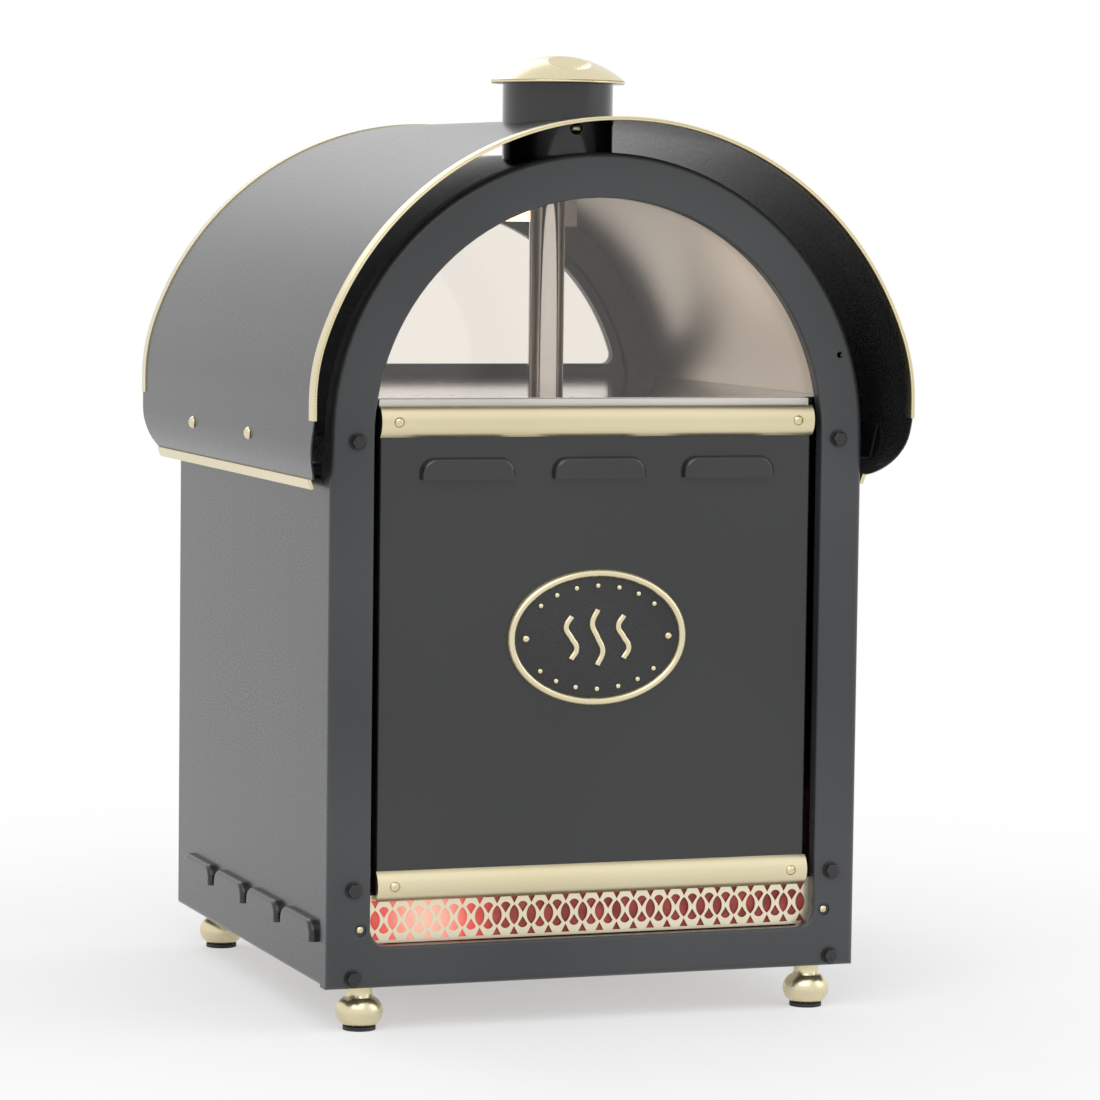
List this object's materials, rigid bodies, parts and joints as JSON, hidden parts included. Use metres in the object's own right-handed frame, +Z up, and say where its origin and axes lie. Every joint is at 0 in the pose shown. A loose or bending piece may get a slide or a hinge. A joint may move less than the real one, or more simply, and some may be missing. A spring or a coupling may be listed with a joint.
{
  "type": "baked potato oven",
  "caption": "Counter-top oven for baking potatoes below and showing them behind an arched window under a rolled canopy.",
  "frame": {"origin": "on the counter, under the middle of the bounding box, at the underside of the foot pads", "axes": "+Z up, -Y towards the window (the customer's side), +X to the right of a person who faces the window"},
  "size_m": [0.505, 0.516, 0.766],
  "materials": {
    "black_textured": "satin",
    "black_gloss": "gloss",
    "black_hardware": "satin",
    "black_aluminium": "gloss",
    "brass": "satin",
    "badge_field": "matte",
    "clear_glass": "polished",
    "pale_steel": "satin",
    "polished_steel": "polished",
    "brushed_steel": "satin",
    "chromed_wire": "polished",
    "dark_sheath": "matte",
    "white_ceramic": "matte",
    "mineral_wool": "matte",
    "red_lens": "gloss",
    "warm_lamp": "gloss",
    "amber_lens": "gloss",
    "black_rubber": "matte",
    "black_plastic": "satin",
    "red_plastic": "gloss"
  },
  "bodies": {
    "cabinet": {"front_frame": "black_textured", "frame_bolts": "black_hardware", "front_screws": "brass", "window_glass": "clear_glass", "window_channel": "pale_steel", "front_panel": "black_gloss", "top_trim_strip": "brass", "bottom_trim_strip": "brass", "badge_plate": "badge_field", "badge_rim": "brass", "badge_motif": "brass", "grille": "brass", "glow_lens": "red_lens", "glow_lamp": "warm_lamp", "side_panel_left": "black_gloss", "side_panel_right": "black_gloss", "display_roof": "black_gloss", "display_liner": "polished_steel", "display_floor": "polished_steel", "display_lamp": "warm_lamp", "lamp_holders": "white_ceramic", "flue_tube": "polished_steel", "base_pan": "pale_steel", "feet": "brass", "foot_pads": "black_rubber", "canopy_sheet": "black_gloss", "canopy_front_trim": "brass", "canopy_rear_trim": "brass", "canopy_lower_trims": "brass", "canopy_rails": "black_gloss", "canopy_screws": "brass", "chimney": "black_gloss", "chimney_cap": "brass", "rear_frame": "black_gloss", "oven_chamber": "brushed_steel", "oven_insulation": "mineral_wool", "rack_runners": "brushed_steel", "oven_racks": "chromed_wire", "heating_element": "dark_sheath", "fan_motor": "dark_sheath", "fan_cover": "brushed_steel", "door_catch": "black_plastic", "door_pivots": "brushed_steel", "control_panel": "brushed_steel", "control_bodies": "black_plastic", "switch_housings": "black_plastic", "indicator_lamps": "amber_lens", "cable_gland": "black_plastic"},
    "oven_door": {"oven_door_panel": "black_gloss", "oven_door_liner": "brushed_steel", "oven_door_gasket": "black_rubber", "oven_door_handle": "brass"},
    "display_door": {"display_door_frame": "black_aluminium", "display_door_glass": "clear_glass", "display_door_knob": "brass"},
    "fan": {"fan_wheel": "brushed_steel"},
    "thermostat": {"thermostat_knob": "black_plastic"},
    "timer": {"timer_knob": "black_plastic"},
    "oven_rocker": {"oven_switch": "red_plastic"},
    "light_rocker": {"light_switch": "black_plastic"}
  },
  "joints": [
    {"name": "oven_door_hinge", "type": "hinge", "parent": "cabinet", "child": "oven_door", "pos_m": [-0.184, 0.227, 0.31], "axis": [0, 0, 1], "range_deg": [0, 110]},
    {"name": "display_door_hinge", "type": "hinge", "parent": "cabinet", "child": "display_door", "pos_m": [0, 0.219, 0.49], "axis": [-1, 0, 0], "range_deg": [0, 90]},
    {"name": "fan_spin", "type": "hinge", "parent": "cabinet", "child": "fan", "pos_m": [0, -0.12, 0.31], "axis": [0, 1, 0], "continuous": true},
    {"name": "thermostat_turn", "type": "hinge", "parent": "cabinet", "child": "thermostat", "pos_m": [-0.125, 0.22, 0.096], "axis": [0, 1, 0], "range_deg": [0, 270]},
    {"name": "timer_turn", "type": "hinge", "parent": "cabinet", "child": "timer", "pos_m": [-0.05, 0.22, 0.096], "axis": [0, 1, 0], "range_deg": [0, 300]},
    {"name": "oven_rocker_tilt", "type": "hinge", "parent": "cabinet", "child": "oven_rocker", "pos_m": [0.025, 0.21, 0.096], "axis": [1, 0, 0], "range_deg": [0, 18]},
    {"name": "light_rocker_tilt", "type": "hinge", "parent": "cabinet", "child": "light_rocker", "pos_m": [0.062, 0.21, 0.096], "axis": [1, 0, 0], "range_deg": [0, 18]}
  ]
}
